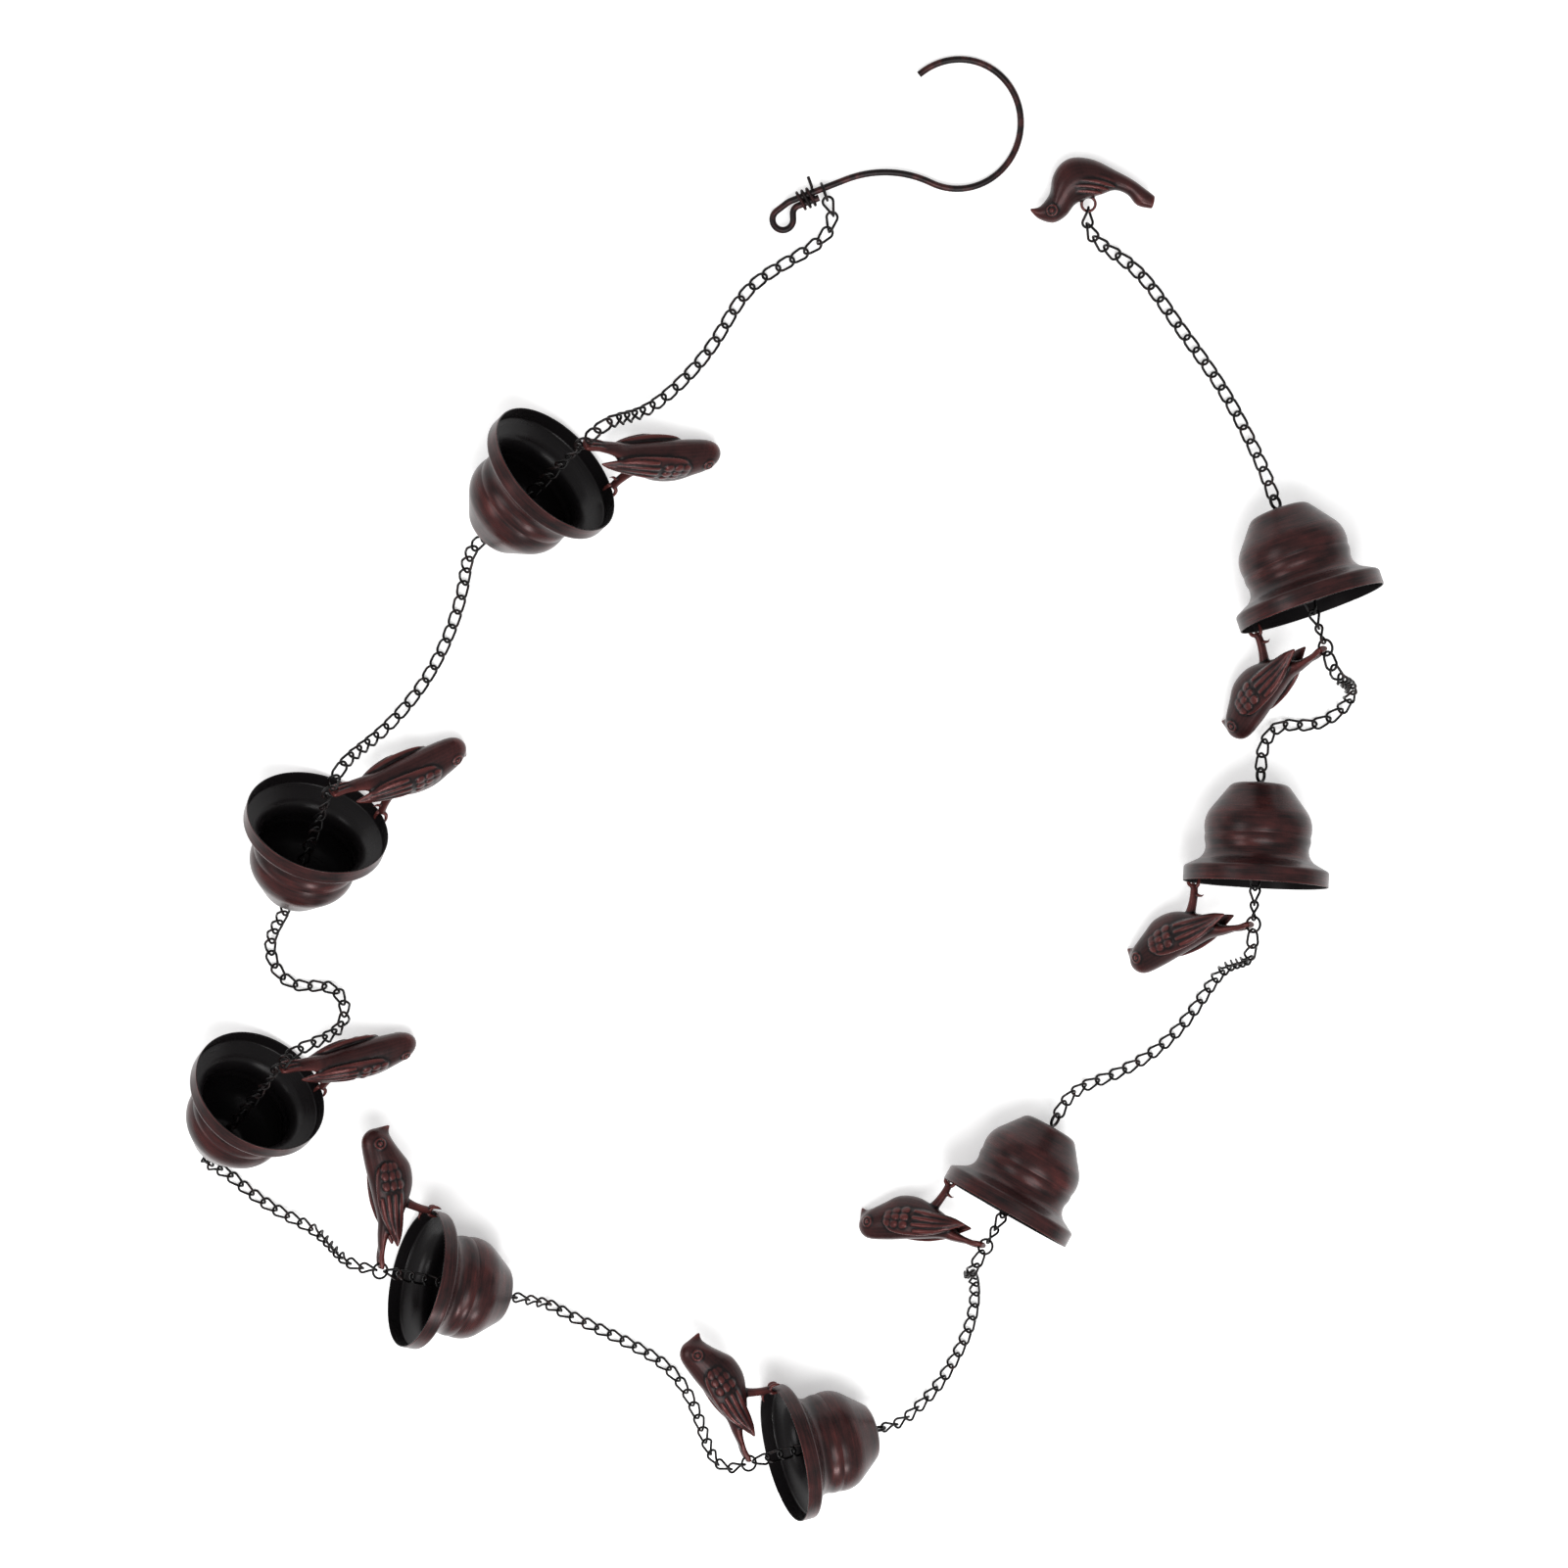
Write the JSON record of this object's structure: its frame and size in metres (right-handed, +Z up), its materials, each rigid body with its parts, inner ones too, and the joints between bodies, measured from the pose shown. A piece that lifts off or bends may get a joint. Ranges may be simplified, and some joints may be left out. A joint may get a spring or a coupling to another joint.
{
  "type": "rain chain",
  "caption": "Rain chain of spun bell cups with a perched bird on each rim, joined by twisted-link chain, with a hanging hook and a bird weight, laid out in an open loop.",
  "frame": {"origin": "middle of the laid-out loop's bounding box, on the floor", "axes": "+Z up from the floor that it lies on, +Y along the loop's longer way towards the hook, +X to the right"},
  "size_m": [0.8, 1.0086, 0.0929],
  "materials": {
    "cup_sheet": "brushed bronze",
    "bird_cast": "rubbed bronze",
    "chain_wire": "satin black",
    "eye_wire": "satin black",
    "hook_wire": "satin black"
  },
  "bodies": {
    "hook": {"hook": "hook_wire", "hook_tie_wire": "hook_wire", "hook_ring": "chain_wire"},
    "end_bird": {"end_bird": "bird_cast"},
    "run_1": {"chain_run_1": "chain_wire"},
    "run_2": {"chain_run_2": "chain_wire"},
    "run_3": {"chain_run_3": "chain_wire"},
    "run_4": {"chain_run_4": "chain_wire"},
    "run_5": {"chain_run_5": "chain_wire"},
    "run_6": {"chain_run_6": "chain_wire"},
    "run_7": {"chain_run_7": "chain_wire"},
    "run_8": {"chain_run_8": "chain_wire"},
    "run_9": {"chain_run_9": "chain_wire"},
    "cup_1": {"cup_1": "cup_sheet", "bird_1": "bird_cast", "base_eye_1": "eye_wire", "tail_ring_1": "chain_wire", "cup_chain_1": "chain_wire"},
    "cup_2": {"cup_2": "cup_sheet", "bird_2": "bird_cast", "base_eye_2": "eye_wire", "tail_ring_2": "chain_wire", "cup_chain_2": "chain_wire"},
    "cup_3": {"cup_3": "cup_sheet", "bird_3": "bird_cast", "base_eye_3": "eye_wire", "tail_ring_3": "chain_wire", "cup_chain_3": "chain_wire"},
    "cup_4": {"cup_4": "cup_sheet", "bird_4": "bird_cast", "base_eye_4": "eye_wire", "tail_ring_4": "chain_wire", "cup_chain_4": "chain_wire"},
    "cup_5": {"cup_5": "cup_sheet", "bird_5": "bird_cast", "base_eye_5": "eye_wire", "tail_ring_5": "chain_wire", "cup_chain_5": "chain_wire"},
    "cup_6": {"cup_6": "cup_sheet", "bird_6": "bird_cast", "base_eye_6": "eye_wire", "tail_ring_6": "chain_wire", "cup_chain_6": "chain_wire"},
    "cup_7": {"cup_7": "cup_sheet", "bird_7": "bird_cast", "base_eye_7": "eye_wire", "tail_ring_7": "chain_wire", "cup_chain_7": "chain_wire"},
    "cup_8": {"cup_8": "cup_sheet", "bird_8": "bird_cast", "base_eye_8": "eye_wire", "tail_ring_8": "chain_wire", "cup_chain_8": "chain_wire"}
  },
  "joints": [
    {"name": "cup_4_swing", "type": "hinge", "parent": "run_5", "child": "cup_4", "pos_m": [-0.17995, -0.3467, 0.02081], "axis": [0, 0, 1], "range_deg": [-1, 15]},
    {"name": "run_4_swing", "type": "hinge", "parent": "cup_4", "child": "run_4", "pos_m": [-0.27209, -0.30568, 0.05916], "axis": [0, 0, -1], "range_deg": [-15, 1]},
    {"name": "cup_3_swing", "type": "hinge", "parent": "run_4", "child": "cup_3", "pos_m": [-0.38888, -0.23287, 0.02081], "axis": [0, 0, -1], "range_deg": [-15, 1]},
    {"name": "run_3_swing", "type": "hinge", "parent": "cup_3", "child": "run_3", "pos_m": [-0.32818, -0.15232, 0.05916], "axis": [0, 0, 1], "range_deg": [-1.5, 15]},
    {"name": "cup_2_swing", "type": "hinge", "parent": "run_3", "child": "cup_2", "pos_m": [-0.32586, -0.04913, 0.02081], "axis": [0, 0, 1], "range_deg": [-2, 15]},
    {"name": "run_2_swing", "type": "hinge", "parent": "cup_2", "child": "run_2", "pos_m": [-0.28484, 0.04301, 0.05916], "axis": [0, 0, -1], "range_deg": [-15, 2]},
    {"name": "cup_1_swing", "type": "hinge", "parent": "run_2", "child": "cup_1", "pos_m": [-0.18433, 0.2016, 0.02081], "axis": [0, 0, -1], "range_deg": [-15, 4]},
    {"name": "run_1_swing", "type": "hinge", "parent": "cup_1", "child": "run_1", "pos_m": [-0.11178, 0.27167, 0.05916], "axis": [0, 0, 1], "range_deg": [-5, 15]},
    {"name": "hook_swing", "type": "hinge", "parent": "run_1", "child": "hook", "pos_m": [0.03963, 0.41709, 0.00645], "axis": [0, 0, 1], "range_deg": [-15, 15]},
    {"name": "cup_5_swing", "type": "hinge", "parent": "run_5", "child": "cup_5", "pos_m": [-0.01653, -0.45848, 0.05916], "axis": [0, 0, 1], "range_deg": [-15, 1]},
    {"name": "run_6_swing", "type": "hinge", "parent": "cup_5", "child": "run_6", "pos_m": [0.08409, -0.45145, 0.02081], "axis": [0, 0, -1], "range_deg": [-1.5, 14]},
    {"name": "cup_6_swing", "type": "hinge", "parent": "run_6", "child": "cup_6", "pos_m": [0.15002, -0.29204, 0.05916], "axis": [0, 0, -1], "range_deg": [-2, 15]},
    {"name": "run_7_swing", "type": "hinge", "parent": "cup_6", "child": "run_7", "pos_m": [0.20347, -0.2065, 0.02081], "axis": [0, 0, 1], "range_deg": [-15, 2.5]},
    {"name": "cup_7_swing", "type": "hinge", "parent": "run_7", "child": "cup_7", "pos_m": [0.32536, -0.05637, 0.05916], "axis": [0, 0, 1], "range_deg": [-15, 15]},
    {"name": "run_8_swing", "type": "hinge", "parent": "cup_7", "child": "run_8", "pos_m": [0.33239, 0.04425, 0.02081], "axis": [0, 0, -1], "range_deg": [-15, 15]},
    {"name": "cup_8_swing", "type": "hinge", "parent": "run_8", "child": "cup_8", "pos_m": [0.36381, 0.13314, 0.05916], "axis": [0, 0, -1], "range_deg": [-5, 15]},
    {"name": "run_9_swing", "type": "hinge", "parent": "cup_8", "child": "run_9", "pos_m": [0.33097, 0.22851, 0.02081], "axis": [0, 0, 1], "range_deg": [-15, 15]},
    {"name": "end_bird_swing", "type": "hinge", "parent": "run_9", "child": "end_bird", "pos_m": [0.20538, 0.41089, 0.0113], "axis": [0, 0, 1], "range_deg": [-15, 15]}
  ]
}
